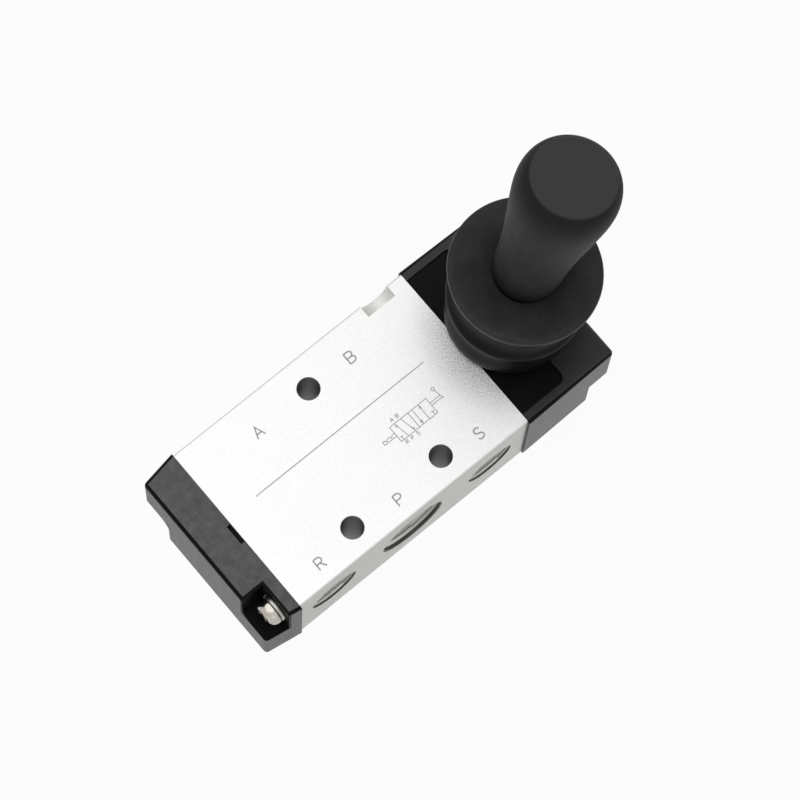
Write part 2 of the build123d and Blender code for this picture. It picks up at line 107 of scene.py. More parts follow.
class NodeKit:
    """A node tree with short calls that add nodes and wire them."""

    def __init__(self, tree: bpy.types.NodeTree) -> None:
        """Takes over a tree's nodes and links."""
        self.nodes, self.links = tree.nodes, tree.links

    def wire(self, node: bpy.types.Node, inputs: dict[str | int, Value]) -> bpy.types.Node:
        """Fills a node's inputs.

        Args:
            node: The node.
            inputs: For each input, a source to link or a value to set.

        Returns:
            The same node.
        """
        for name, value in inputs.items():
            if isinstance(value, Socket):
                self.links.new(value, node.inputs[name])
            else:
                node.inputs[name].default_value = value
        return node

    def add(self, kind: str, inputs: dict[str | int, Value]) -> bpy.types.Node:
        """Adds a node of a kind, fills its inputs and returns it."""
        return self.wire(self.nodes.new(kind), inputs)

    def maths(self, operation: str, first: Socket, second: Socket | float) -> Socket:
        """Adds a maths node.

        Args:
            operation: Its operation, such as MULTIPLY.
            first: The first value.
            second: The second value, a number or a socket.

        Returns:
            The result.
        """
        node = self.add("ShaderNodeMath", {0: first, 1: second})
        node.operation = operation
        return node.outputs[0]

    def span(self, value: Socket, source: Point, target: Point = (0.0, 1.0)) -> Socket:
        """Maps one range to another, clamped.

        Args:
            value: The value.
            source: The range that it comes from.
            target: The range that it goes to.

        Returns:
            The mapped value.
        """
        names = ("Value", "From Min", "From Max", "To Min", "To Max")
        inputs = dict(zip(names, (value, *source, *target)))
        return self.add("ShaderNodeMapRange", inputs).outputs["Result"]

    def seen(self) -> Socket:
        """Tells the rays that show the backdrop: camera, mirror and glass rays.

        Returns:
            1 for such a ray, and 0 for any other.
        """
        rays = self.add("ShaderNodeLightPath", {}).outputs
        names = ("Is Camera Ray", "Is Glossy Ray", "Is Transmission Ray")
        return reduce(partial(self.maths, "MAXIMUM"), [rays[name] for name in names])


class ShaderTree(NodeKit):
    """A material's node tree, with patterns on the object's own coordinates."""

    def __init__(self, name: str) -> None:
        """Starts a material.

        Args:
            name: The material's name.
        """
        self.material = bpy.data.materials.new(name)
        self.material.use_nodes = True
        super().__init__(self.material.node_tree)
        self.shader = self.nodes["Principled BSDF"]

    @cached_property
    def place(self) -> Socket:
        """The object's own coordinates."""
        return self.add("ShaderNodeTexCoord", {}).outputs["Object"]

    def feed(self, **sources: Value) -> None:
        """Fills the shader's own inputs.

        Args:
            sources: A source or a value for each input; an underscore stands for a space.
        """
        for name, value in sources.items():
            title = name.replace("_", " ").title().replace("Ior", "IOR")
            self.wire(self.shader, {title: value})

    def noise(self, size: float, detail: float = 2.0, place: Socket | None = None) -> Socket:
        """Adds noise.

        Args:
            size: The size of its blobs in millimetres.
            detail: Its octaves.
            place: The coordinates, or None for the object's own.

        Returns:
            The noise's value from 0 to 1.
        """
        inputs = {"Vector": place or self.place, "Scale": 1.0 / (size * MM), "Detail": detail}
        return self.add("ShaderNodeTexNoise", inputs).outputs["Fac"]

    def cells(self, size: float) -> Socket:
        """Adds round cells of a size in millimetres and returns the distance in each."""
        inputs = {"Vector": self.place, "Scale": 1.0 / (size * MM)}
        return self.add("ShaderNodeTexVoronoi", inputs).outputs["Distance"]

    def mapped(self, origin: Point3 = ZERO, turn: Point3 = ZERO, unit: Point3 = ONES) -> Socket:
        """Adds the coordinates in a turned and stretched frame.

        Args:
            origin: The frame's origin in millimetres.
            turn: Its turn about each axis in degrees.
            unit: Its unit on each axis in metres.

        Returns:
            The new coordinates.
        """
        inputs = {
            "Vector": self.place,
            "Location": [place * MM for place in origin],
            "Rotation": [math.radians(angle) for angle in turn],
            "Scale": unit,
        }
        node = self.add("ShaderNodeMapping", inputs)
        node.vector_type = "TEXTURE"
        return node.outputs["Vector"]

    def axes(self, place: Socket) -> bpy.types.bpy_prop_collection:
        """Splits coordinates into X, Y and Z."""
        return self.add("ShaderNodeSeparateXYZ", {0: place}).outputs

    def distance(self, origin: Point3) -> Socket:
        """Measures how far each place lies from a point.

        Args:
            origin: The point in millimetres.

        Returns:
            The distance in metres.
        """
        inputs = {0: self.place, 1: [place * MM for place in origin]}
        node = self.add("ShaderNodeVectorMath", inputs)
        node.operation = "DISTANCE"
        return node.outputs["Value"]

    def within(self, box: Box) -> Socket:
        """Tells the inside of a box from its outside.

        Args:
            box: The box.

        Returns:
            1 inside the box, and 0 outside it.
        """
        half = tuple((top - bottom) / 2 * MM for bottom, top in zip(box.low, box.high))
        centre = tuple((top + bottom) / 2 for bottom, top in zip(box.low, box.high))
        axes = self.axes(self.mapped(centre, (0.0, 0.0, box.turn), half))
        sizes = [self.maths("ABSOLUTE", axis, 0.0) for axis in axes]
        near = [self.maths("LESS_THAN", size, 1.0) for size in sizes]
        return reduce(partial(self.maths, "MULTIPLY"), near)

    def within_any(self, boxes: Iterable[Box]) -> Socket:
        """Returns 1 inside any of the boxes, and 0 elsewhere."""
        return reduce(partial(self.maths, "MAXIMUM"), [self.within(box) for box in boxes])

    def blend(self, share: Socket, first: Paint, second: Paint) -> Socket:
        """Mixes two colours.

        Args:
            share: The second colour's share, from 0 to 1.
            first: The first colour.
            second: The second colour.

        Returns:
            The mixed colour.
        """
        inputs = {0: share}
        for place, paint in zip(MIX_COLOURS, (first, second)):
            inputs[place] = paint if isinstance(paint, Socket) else (*paint, 1.0)
        node = self.nodes.new("ShaderNodeMix")
        node.data_type = "RGBA"
        return self.wire(node, inputs).outputs[MIX_RESULT]

    def relief(self, *heights: tuple[Socket, float]) -> None:
        """Adds bump to the shader.

        Args:
            heights: Height values with their depth in millimetres, coarse ones first.
        """
        under: dict[str | int, Value] = {}
        for height, depth in heights:
            inputs = {"Distance": depth * MM, "Height": height, **under}
            under = {"Normal": self.add("ShaderNodeBump", inputs).outputs["Normal"]}
        self.wire(self.shader, under)


# ---- finishes


class Finish(Protocol):
    """A finish that makes its own material."""

    slot: str

    def build(self) -> bpy.types.Material:
        """Returns the new material."""


def bore_shade_bands(middle: float, half: float, *bands: Point) -> tuple[Box, ...]:
    """Returns boxes about a middle x that hold painted shade bands in a bore, from one y to
    another.
    """
    left, right = middle - half, middle + half
    return tuple(Box((left, low, 2.0), (right, high, 20.0)) for low, high in bands)


@dataclass(frozen=True)
class BlastedAluminium:
    """Bead-blasted, clear anodised aluminium whose bores keep their tool marks."""

    slot: str = "body_aluminium"
    colour: Colour = (0.95, 0.95, 0.945)
    speck: Colour = (0.82, 0.82, 0.81)
    grain: float = 0.16
    depth: float = 0.03
    roughness: Point = (0.34, 0.5)
    cloud: float = 9.0
    cloud_share: float = 0.12
    flank: Colour = (0.56, 0.555, 0.53)
    streak: float = 1.2
    between_flanks: Box = Box((-60.0, -17.42, -60.0), (60.0, 17.42, 60.0))
    inside: Box = Box((-25.9, -17.35, 0.15), (25.9, 17.35, 21.85))
    metallic: Point = (0.55, 0.2)
    bore: Colour = (0.93, 0.925, 0.89)
    tool_mark: float = 0.35
    # painted shade: dark bands at the port mouths and thin dark lines deeper in, where shade
    # falls in the threads
    shade: Colour = (0.07, 0.068, 0.06)
    shades: tuple[Box, ...] = (
        *bore_shade_bands(0.0, 8.0, (-17.4, -16.68), (-16.15, -16.02)),
        *bore_shade_bands(-18.0, 7.0, (-17.25, -16.9), (-16.6, -16.5)),
        *bore_shade_bands(18.0, 7.0, (-17.25, -16.9), (-16.6, -16.5)),
        *bore_shade_bands(-0.25, 16.75, (16.55, 17.4)),
    )
    # painted shade inside the three mounting holes
    painted_hole_shade: Colour = (0.24, 0.24, 0.23)
    holes: tuple[Box, ...] = (
        Box((-2.2, 9.5, -1.0), (2.2, 13.9, 23.0)),
        Box((-12.3, -14.7, -1.0), (-7.9, -10.3, 23.0)),
        Box((7.9, -14.7, -1.0), (12.3, -10.3, 23.0)),
    )
    # painted shadow of the boot on the front by the housing, grainy and fading with distance
    painted_shadow: Colour = (0.34, 0.34, 0.335)
    painted_shadow_grain: float = 0.256
    painted_shadow_centre: Point3 = (36.0, -1.0, 22.0)
    painted_shadow_reach: Point = (10.5, 18.0)
    painted_shadow_share: float = 0.85

    def build(self) -> bpy.types.Material:
        """Makes a grained skin outside and turned metal inside the block, with painted shade
        and shadow.

        Returns:
            The material.
        """
        tree = ShaderTree(self.slot)
        tree.feed(specular_ior_level=0.5)
        grain = tree.noise(self.grain, 3.0)
        skin = tree.blend(tree.span(grain, (0.3, 0.62)), self.speck, self.colour)
        cloud = tree.span(tree.noise(self.cloud), (0.35, 0.7), (0.0, self.cloud_share))
        skin = tree.blend(cloud, skin, self.speck)
        # painted grainy shadow of the boot, fading away from the housing
        shadow_grit = tree.span(tree.noise(self.painted_shadow_grain), (0.46, 0.6))
        inner, outer = (reach * MM for reach in self.painted_shadow_reach)
        near = tree.distance(self.painted_shadow_centre)
        fade = tree.span(near, (inner, outer), (self.painted_shadow_share, 0.0))
        skin = tree.blend(tree.maths("MULTIPLY", shadow_grit, fade), skin, self.painted_shadow)
        streak = tree.noise(self.streak, 3.0, tree.mapped(unit=(10.0, 1.0, 1.0)))
        flank = tree.blend(tree.span(streak, NOISE_CORE, (0.0, 0.25)), self.flank, self.speck)
        skin = tree.blend(tree.within(self.between_flanks), flank, skin)
        inside = tree.within(self.inside)
        # painted shade bands in the bores
        skin = tree.blend(
            inside, skin, tree.blend(tree.within_any(self.shades), self.bore, self.shade)
        )
        # painted shade in the mounting holes
        painted_hole_shade = tree.maths("MULTIPLY", inside, tree.within_any(self.holes))
        tool = tree.noise(self.tool_mark, 1.0, tree.mapped(unit=(12.5, 1.0, 12.5)))
        tree.feed(
            base_color=tree.blend(painted_hole_shade, skin, self.painted_hole_shade),
            metallic=tree.span(inside, (0.0, 1.0), self.metallic),
            roughness=tree.span(grain, (0.25, 0.75), self.roughness),
        )
        tree.relief((grain, self.depth), (tree.maths("MULTIPLY", tool, inside), self.depth))
        return tree.material


@dataclass(frozen=True)
class Moulded:
    """A moulded plastic or rubber skin with a fine grain, pale specks, and painted shade and
    dark reflections in boxes.
    """

    slot: str
    dark: Colour
    pale: Colour
    grain: float = 0.22
    grain_share: float = 0.6
    patch: float = 6.0
    depth: float = 0.02
    roughness: Point = (0.45, 0.6)
    specular: float = 0.5
    speck: Colour = (0.5, 0.5, 0.5)
    speck_share: float = 0.0
    speck_spacing: float = 2.2
    painted_shade: Colour = (0.003, 0.003, 0.0034)
    painted_shade_specular: float = 0.07
    painted_shade_boxes: tuple[Box, ...] = ()

    def build(self) -> bpy.types.Material:
        """Makes the grained skin, with painted black shade and dark reflections in the boxes it
        has.

        Returns:
            The material.
        """
        tree = ShaderTree(self.slot)
        grain = tree.noise(self.grain, 4.0)
        patch = tree.noise(self.patch, 3.0)
        colour = tree.blend(tree.span(patch, NOISE_CORE), self.dark, self.pale)
        share = tree.span(grain, (0.35, 0.7), (0.0, self.grain_share))
        colour = tree.blend(share, colour, self.dark)
        if self.speck_share > 0:
            cells = tree.cells(self.grain * self.speck_spacing)
            share = tree.span(cells, (0.0, self.speck_share), (1.0, 0.0))
            colour = tree.blend(share, colour, self.speck)
        colour = self.lay_painted_light(tree, colour)
        tree.feed(specular_ior_level=self.specular)
        # painted shade and dark reflections: near-black colour with little specular inside the
        # boxes
        if self.painted_shade_boxes:
            painted_shade = tree.within_any(self.painted_shade_boxes)
            colour = tree.blend(painted_shade, colour, self.painted_shade)
            shine = tree.span(painted_shade, (0.0, 1.0), (self.specular, self.painted_shade_specular))
            tree.feed(specular_ior_level=shine)
        tree.feed(base_color=colour, roughness=tree.span(grain, NOISE_CORE, self.roughness))
        tree.relief((patch, self.depth * 2.0), (grain, self.depth))
        return tree.material

    def lay_painted_light(self, tree: ShaderTree, colour: Socket) -> Socket:
        """Returns the colour with painted shade and highlights laid on; here it is as moulded.
        """
        return colour


@dataclass(frozen=True)
class Grade:
    """Painted light: a colour that comes in between two heights above the lever's pivot."""

    start: float
    end: float
    share: float
    colour: Colour


@dataclass(frozen=True)
class Graded(Moulded):
    """A moulded skin whose colour changes along the lever, as painted shade and highlights."""

    pivot: Point3 = (35.27, 0.0, 25.0)
    tilt: float = 0.0
    painted_light_grades: tuple[Grade, ...] = ()

    def lay_painted_light(self, tree: ShaderTree, colour: Socket) -> Socket:
        """Lays each grade of painted light over the colour.

        Args:
            tree: The material's tree.
            colour: The colour as moulded.

        Returns:
            The graded colour.
        """
        height = tree.axes(tree.mapped(self.pivot, (0.0, self.tilt, 0.0)))["Z"]
        for grade in self.painted_light_grades:
            share = tree.span(height, (grade.start * MM, grade.end * MM), (0.0, grade.share))
            colour = tree.blend(share, colour, grade.colour)
        return colour


@dataclass(frozen=True)
class Turned:
    """Bare or plated metal with fine rings from the lathe."""

    slot: str
    colour: Colour
    stain: Colour
    roughness: Point
    along: Along = Along.X
    centre: Point3 = (0.0, 0.0, 11.0)
    ring: float = 0.12
    ring_stretch: float = 25.0
    depth: float = 0.004
    stain_size: float = 1.8
    stain_share: float = 0.8

    def build(self) -> bpy.types.Material:
        """Makes metal with rings across its axis and a few stains.

        Returns:
            The material.
        """
        tree = ShaderTree(self.slot)
        unit = [self.ring_stretch] * 3
        unit[self.along.value] = 1.0
        rings = tree.noise(self.ring, 2.0, tree.mapped(self.centre, unit=tuple(unit)))
        stain = tree.noise(self.stain_size, 3.0)
        stain = tree.span(stain, (0.45, 0.8), (0.0, self.stain_share))
        tree.feed(
            metallic=1.0,
            base_color=tree.blend(stain, self.colour, self.stain),
            roughness=tree.span(rings, NOISE_CORE, self.roughness),
        )
        tree.relief((rings, self.depth))
        return tree.material


@dataclass(frozen=True)
class PrintedInk:
    """Pale grey ink, worn thin in places."""

    slot: str = "body_aluminium"
    ink: Colour = (0.46, 0.46, 0.465)
    worn: Colour = (0.6, 0.6, 0.6)
    wear: float = 0.5
    roughness: Point = (0.45, 0.6)
    depth: float = 0.004

    def build(self) -> bpy.types.Material:
        """Makes the ink.

        Returns:
            The material.
        """
        tree = ShaderTree("marking_ink")
        wear = tree.noise(self.wear, 3.0)
        tree.feed(
            base_color=tree.blend(tree.span(wear, (0.4, 0.75)), self.ink, self.worn),
            roughness=tree.span(wear, NOISE_CORE, self.roughness),
        )
        tree.relief((wear, self.depth))
        return tree.material


BODY_SKIN = BlastedAluminium()
CAP_SKIN = Moulded(
    "cap_plastic", (0.058, 0.058, 0.0595), (0.14, 0.14, 0.142),
    grain=0.2, patch=1.5, depth=0.04, roughness=(0.4, 0.58), specular=0.45,
    speck=(0.2, 0.2, 0.2), speck_share=0.2,
    painted_shade_boxes=(  # painted shade in two screw notches and the vent slot, painted dark reflections along the end edge and the two side edges
        Box((-34.0, -19.0, 10.6), (-28.15, -9.8, 23.0)),
        Box((-34.0, 10.25, -1.0), (-28.55, 19.0, 11.05)),
        Box((-26.95, -2.45, 20.05), (-25.9, 1.65, 21.96)),
        Box((-33.4, -18.2, 21.3), (-32.65, 18.2, 22.1)),
        Box((-33.6, 16.75, 21.3), (-25.8, 17.5, 22.1), 9.33),
        Box((-33.6, -17.5, 21.3), (-25.8, -16.75, 22.1), -9.33),
    ),
)
HOUSING_SKIN = Moulded(
    "housing_plastic", (0.007, 0.007, 0.0075), (0.018, 0.018, 0.0185),
    grain=0.2, patch=3.5, depth=0.025, roughness=(0.3, 0.46), specular=0.32,
    speck=(0.07, 0.07, 0.07), speck_share=0.14,
    painted_shade_boxes=(  # painted shade and dark reflection on the recess floor round the boot, painted shade in two screw notches, painted dark reflections along the two side edges
        Box((25.9, -15.95, 21.4), (36.25, 15.95, 21.96)),
        Box((41.15, -19.0, -1.0), (47.0, -10.25, 9.55)),
        Box((41.15, 10.25, 12.45), (47.0, 19.0, 23.0)),
        Box((25.9, -18.1, 21.35), (46.1, -17.3, 22.1)),
        Box((25.9, 17.3, 21.35), (46.1, 18.1, 22.1)),
    ),
)
GASKET_SKIN = Moulded(
    "nitrile_gasket", (0.003, 0.003, 0.003), (0.007, 0.007, 0.007), grain=0.3, specular=0.12
)
SEAL_SKIN = Moulded(
    "seal_rubber", (0.02, 0.02, 0.02), (0.035, 0.035, 0.035),
    grain=0.25, depth=0.01, roughness=(0.3, 0.45),
)
BOOT_SKIN = Graded(
    "boot_rubber", (0.034, 0.034, 0.0355), (0.056, 0.056, 0.058),
    grain=0.3, patch=4.0, depth=0.012, roughness=(0.36, 0.5), specular=0.11,
    # painted shade below the top disc, near black down to the foot
    painted_light_grades=(Grade(16.4, 13.0, 1.0, (0.004, 0.004, 0.0042)),),
)
GRIP_SKIN = Graded(
    "grip_plastic", (0.02, 0.02, 0.0202), (0.04, 0.0395, 0.039),
    patch=5.0, depth=0.012, roughness=(0.56, 0.7), specular=0.19, tilt=11.65,
    painted_light_grades=(
        # painted dark reflection over the shoulder and up to the end
        Grade(42.0, 51.0, 0.9, (0.006, 0.006, 0.0064)),
        # painted highlight on the flat end
        Grade(55.2, 55.5, 1.0, (0.055, 0.055, 0.058)),
        # painted contact shadow at the grip's base
        Grade(22.5, 18.6, 1.0, (0.002, 0.002, 0.002)),
    ),
)
RING_SKIN = Moulded(
    "ring_ptfe", (0.72, 0.7, 0.66), (0.84, 0.83, 0.8),
    grain=0.4, depth=0.005, roughness=(0.3, 0.42),
)
SCREW_METAL = Turned("nickel_screw", (0.5, 0.475, 0.43), (0.3, 0.25, 0.2), (0.1, 0.2))
SPRING_METAL = Turned("spring_steel", (0.5, 0.49, 0.47), (0.3, 0.27, 0.22), (0.3, 0.45))
GROUND_METAL = Turned("ground_steel", (0.6, 0.6, 0.6), (0.42, 0.4, 0.36), (0.2, 0.35))
BALL_METAL = Turned("bearing_steel", (0.75, 0.75, 0.76), (0.6, 0.6, 0.6), (0.06, 0.12))
SPOOL_METAL = Turned("spool_aluminium", (0.62, 0.6, 0.55), (0.5, 0.47, 0.4), (0.28, 0.4))
BRASS_METAL = Turned(
    "insert_brass", (0.78, 0.58, 0.26), (0.55, 0.38, 0.16), (0.2, 0.32), Along.Z
)
MARKING = PrintedInk()


@cache
def material_of(finish: Finish) -> bpy.types.Material:
    """Returns a finish's material, which is made at its first use."""
    return finish.build()


def dress(**finishes: Finish) -> None:
    """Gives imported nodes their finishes.

    Args:
        finishes: The finish for each node's name.
    """
    for node, finish in finishes.items():
        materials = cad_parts[node].data.materials
        materials.clear()
        materials.append(material_of(finish))
        LOG.info("node %s wears %s", node, finish.slot)


# ---- mesh making


def placed(name: str, data: bpy.types.ID) -> bpy.types.Object:
    """Puts a new object into the scene.

    Args:
        name: Its name.
        data: Its mesh, light or camera.

    Returns:
        The object.
    """
    item = bpy.data.objects.new(name, data)
    bpy.context.scene.collection.objects.link(item)
    return item


class Shape:
    """A bmesh in millimetres with the steps that these pieces are made by."""

    def __init__(self) -> None:
        """Starts an empty shape."""
        self.mesh = bmesh.new()

    def loop(self, points: Iterable[Point3]) -> list[Edge]:
        """Adds a closed loop through some corners and returns its edges in order."""
        verts = [self.mesh.verts.new(point) for point in points]
        return [self.mesh.edges.new(pair) for pair in zip(verts, verts[1:] + verts[:1])]

    def revolve(self, profile: Line, steps: int) -> None:
        """Turns a closed profile all the way round Z.

        Args:
            profile: Its (radius, height) points, clear of the axis.
            steps: The number of steps round.
        """
        edges = self.loop((radius, 0.0, height) for radius, height in profile)
        verts = list({vert: None for edge in edges for vert in edge.verts})
        bmesh.ops.spin(
            self.mesh, geom=verts + edges, cent=(0, 0, 0), axis=(0, 0, 1),
            angle=math.tau, steps=steps, use_merge=True,
        )
        bmesh.ops.remove_doubles(self.mesh, verts=self.mesh.verts, dist=MERGE_DISTANCE)

    def sweep_round(self, section: Line, angle: float, steps: int, rise: float) -> None:
        """Turns a closed section round Z while it rises, as a thread or a coil.

        Args:
            section: The section's (radius, height) points.
            angle: The whole angle in radians.
            steps: The number of steps.
            rise: The whole rise.
        """
        start = [self.mesh.verts.new((radius, 0.0, height)) for radius, height in section]
        face = self.mesh.faces.new(start)
        bmesh.ops.spin(
            self.mesh, geom=[face, *face.edges, *start], cent=(0, 0, 0), axis=(0, 0, 1),
            dvec=(0, 0, rise / steps), angle=angle, steps=steps,
        )

    def move(self, matrix: Matrix) -> None:
        """Moves everything by a matrix."""
        bmesh.ops.transform(self.mesh, matrix=matrix, verts=self.mesh.verts)

    def ring(self, radius: float, height: float, steps: int) -> list[Edge]:
        """Adds an open circle of edges round Z at a height."""
        made = bmesh.ops.create_circle(
            self.mesh, radius=radius, segments=steps, matrix=Matrix.Translation((0, 0, height))
        )
        return list({edge: None for vert in made["verts"] for edge in vert.link_edges})

    def grow(self, edges: list[Edge], factor: float, rise: float) -> list[Edge]:
        """Extrudes a loop and scales it about Z.

        Args:
            edges: The loop.
            factor: The scale of the new loop.
            rise: How far it moves along Z.

        Returns:
            The new loop's edges.
        """
        made = bmesh.ops.extrude_edge_only(self.mesh, edges=edges)["geom"]
        verts = [item for item in made if isinstance(item, bmesh.types.BMVert)]
        bmesh.ops.scale(self.mesh, vec=(factor, factor, 1.0), verts=verts)
        bmesh.ops.translate(self.mesh, vec=(0, 0, rise), verts=verts)
        ends = set(verts)
        return [item for item in made if isinstance(item, Edge) and set(item.verts) <= ends]

    def grow_rings(self, edges: list[Edge], start: Point, profile: Line) -> list[Edge]:
        """Extrudes a round loop through a profile.

        Args:
            edges: The loop.
            start: Its (radius, height).
            profile: The (radius, height) of each new loop.

        Returns:
            The last loop's edges.
        """
        radius, height = start
        for new_radius, new_height in profile:
            edges = self.grow(edges, new_radius / radius, new_height - height)
            radius, height = new_radius, new_height
        return edges

    def ribbon(self, points: Line, width: float, low: float, high: float) -> None:
        """Adds a flat ribbon along a line of points, mitred at its corners.

        Args:
            points: The line's points; a line that ends where it starts is a loop.
            width: The ribbon's width.
            low: The height of its underside.
            high: The height of its top.
        """
        path = [Vector(point) for point in points]
        loop = (path[0] - path[-1]).length < LOOP_GAP
        steps = [(end - start).normalized() for start, end in zip(path, path[1:])]
        rings = []
        for index, place in enumerate(path):
            before = steps[index - 1] if index or loop else steps[0]
            after = steps[index] if index < len(steps) else (steps[0] if loop else before)
            heading = (before + after).normalized()
            reach = width / 2 / max(heading.dot(after), MITRE_LIMIT)
            side = Vector((-heading.y, heading.x)) * reach
            ends = (place + side, place - side)
            rings.append(
                [self.mesh.verts.new((*end, height)) for height in (low, high) for end in ends]
            )
        for first, second in zip(rings, rings[1:]):
            for one, two in ((0, 1), (1, 3), (3, 2), (2, 0)):
                self.mesh.faces.new((first[one], first[two], second[two], second[one]))
        if not loop:
            for ring in (rings[0], rings[-1]):
                self.mesh.faces.new((ring[0], ring[1], ring[3], ring[2]))
        bmesh.ops.recalc_face_normals(self.mesh, faces=self.mesh.faces)

    def absorb(self, other: "Shape", matrix: Matrix) -> None:
        """Takes another shape in.

        Args:
            other: The shape, which is used up.
            matrix: Where it goes.
        """
        other.move(matrix)
        data = bpy.data.meshes.new("passing")
        other.mesh.to_mesh(data)
        self.mesh.from_mesh(data)
        bpy.data.meshes.remove(data)
        other.mesh.free()

    def finished(self, name: str, material: bpy.types.Material) -> bpy.types.Object:
        """Turns the shape into an object in metres.

        Args:
            name: The object's name.
            material: Its material.

        Returns:
            The object.
        """
        bmesh.ops.scale(self.mesh, vec=(MM, MM, MM), verts=self.mesh.verts)
        data = bpy.data.meshes.new(name)
        self.mesh.to_mesh(data)
        self.mesh.free()
        data.materials.append(material)
        return placed(name, data)

    def store(
        self, name: str, finish: Finish, body: Body | None, replaces: Sequence[str] = (),
        crease: float = 32.0,
    ) -> bpy.types.Object:
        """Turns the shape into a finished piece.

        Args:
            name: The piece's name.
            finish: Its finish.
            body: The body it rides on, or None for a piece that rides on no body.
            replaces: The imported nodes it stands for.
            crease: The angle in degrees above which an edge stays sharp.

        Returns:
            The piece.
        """
        bmesh.ops.recalc_face_normals(self.mesh, faces=self.mesh.faces)
        piece = self.finished(name, material_of(finish))
        piece.data.shade_smooth()
        piece.data.set_sharp_from_angle(angle=math.radians(crease))
        if replaces:
            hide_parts(*replaces)
        if body is not None:
            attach(piece, body.value)
        LOG.info("piece %s has %d faces", name, len(piece.data.polygons))
        return piece


def along_x(x: float, y: float, z: float, outward: int) -> Matrix:
    """Returns the matrix that takes +Z to +X or -X at a place."""
    return Matrix.Translation((x, y, z)) @ Matrix.Rotation(outward * math.pi / 2, 4, "Y")


def along_y(x: float, y: float, z: float, outward: int) -> Matrix:
    """Returns the matrix that takes +Z to +Y or -Y at a place."""
    return Matrix.Translation((x, y, z)) @ Matrix.Rotation(-outward * math.pi / 2, 4, "X")


# ---- fasteners


@dataclass
class PanScrew:
    """A pan head screw with a cross recess and a rolled thread.

    The dome and the rim hold shares of the head's radius, with depths below its top and
    heights above its seat.
    """

    shank: float
    head_radius: float = 2.68
    head_height: float = 2.08
    crown_radius: float = 1.62
    dome: tuple[Point, ...] = ((0.74, 0.16), (0.84, 0.38), (0.92, 0.7), (0.98, 1.1), (1.0, 1.5))
    rim: tuple[Point, ...] = ((1.0, 0.28), (0.93, 0.04), (0.9, 0.0))
    core_radius: float = 1.24
    tip_length: float = 0.5
    tip_share: float = 0.7
    thread_radius: float = 1.46
    thread_sink: float = 0.03
    pitch: float = 0.5
    flank_share: float = 0.42
    crest_share: float = 0.05
    threaded: float = 7.0
    thread_start: float = 0.6
    arm_length: float = 1.45
    arm_width: float = 0.56
    recess_steps: tuple[Point, ...] = ((0.82, -0.6875), (0.5, -0.5625))
    steps: int = 32
    steps_per_turn: int = 20

    def shape(self) -> Shape:
        """Builds the screw along Z, its head's seat at zero and its head up.

        Returns:
            The screw.
        """
        screw = Shape()
        top, wide, core = self.head_height, self.head_radius, self.core_radius
        half = self.arm_width / 2
        corners = ((self.arm_length, -half), (self.arm_length, half), (half, half))
        recess = screw.loop(
            Matrix.Rotation(math.pi / 2 * quarter, 3, "Z") @ Vector((*corner, top))
            for quarter in range(4)
            for corner in corners
        )
        crown = screw.ring(self.crown_radius, top, self.steps)
        bmesh.ops.bridge_loops(screw.mesh, edges=recess + crown)
        profile = (
            *((share * wide, top - drop) for share, drop in self.dome),
            *((share * wide, height) for share, height in self.rim),
            (core, 0.0),
            (core, self.tip_length - self.shank),
            (self.tip_share * core, -self.shank),
        )
        tip = screw.grow_rings(crown, (self.crown_radius, top), profile)
        for factor, rise in self.recess_steps:
            recess = screw.grow(recess, factor, rise)
        for hole in (tip, recess):
            bmesh.ops.edgenet_fill(screw.mesh, edges=hole)
        root, crest = core - self.thread_sink, self.thread_radius
        section = (
            (root, -self.flank_share * self.pitch), (crest, -self.crest_share * self.pitch),
            (crest, self.crest_share * self.pitch), (root, self.flank_share * self.pitch),
        )
        turns = self.threaded / self.pitch
        thread = Shape()
        thread.sweep_round(
            section, math.tau * turns, int(self.steps_per_turn * turns), self.threaded
        )
        screw.absorb(thread, Matrix.Translation((0, 0, self.thread_start - self.shank)))
        return screw


@dataclass
class SplitWasher:
    """A square-section spring washer, split and pressed nearly flat."""

    outer: float = 2.73
    inner: float = 1.62
    thickness: float = 0.68
    gap: float = 0.26
    gap_turn: float = 0.9
    spring_back: float = 0.1
    lift: float = 0.01
    edge: float = 0.08
    edge_angle: float = 1.0
    steps: int = 44

    def shape(self) -> Shape:
        """Builds the washer on the seat at zero.

        Returns:
            The washer.
        """
        washer = Shape()
        section = (
            (self.inner, 0.0), (self.outer, 0.0),
            (self.outer, self.thickness), (self.inner, self.thickness),
        )
        washer.sweep_round(section, math.tau - self.gap, self.steps, self.spring_back)
        turn = Matrix.Rotation(self.gap_turn, 4, "Z")
        washer.move(Matrix.Translation((0, 0, self.lift)) @ turn)
        bmesh.ops.recalc_face_normals(washer.mesh, faces=washer.mesh.faces)
        edges = washer.mesh.edges
        sharp = [edge for edge in edges if edge.calc_face_angle(0.0) > self.edge_angle]
        bmesh.ops.bevel(
            washer.mesh, geom=sharp, affect="EDGES", offset=self.edge, segments=2, profile=0.5,
            material=-1,
        )
        return washer


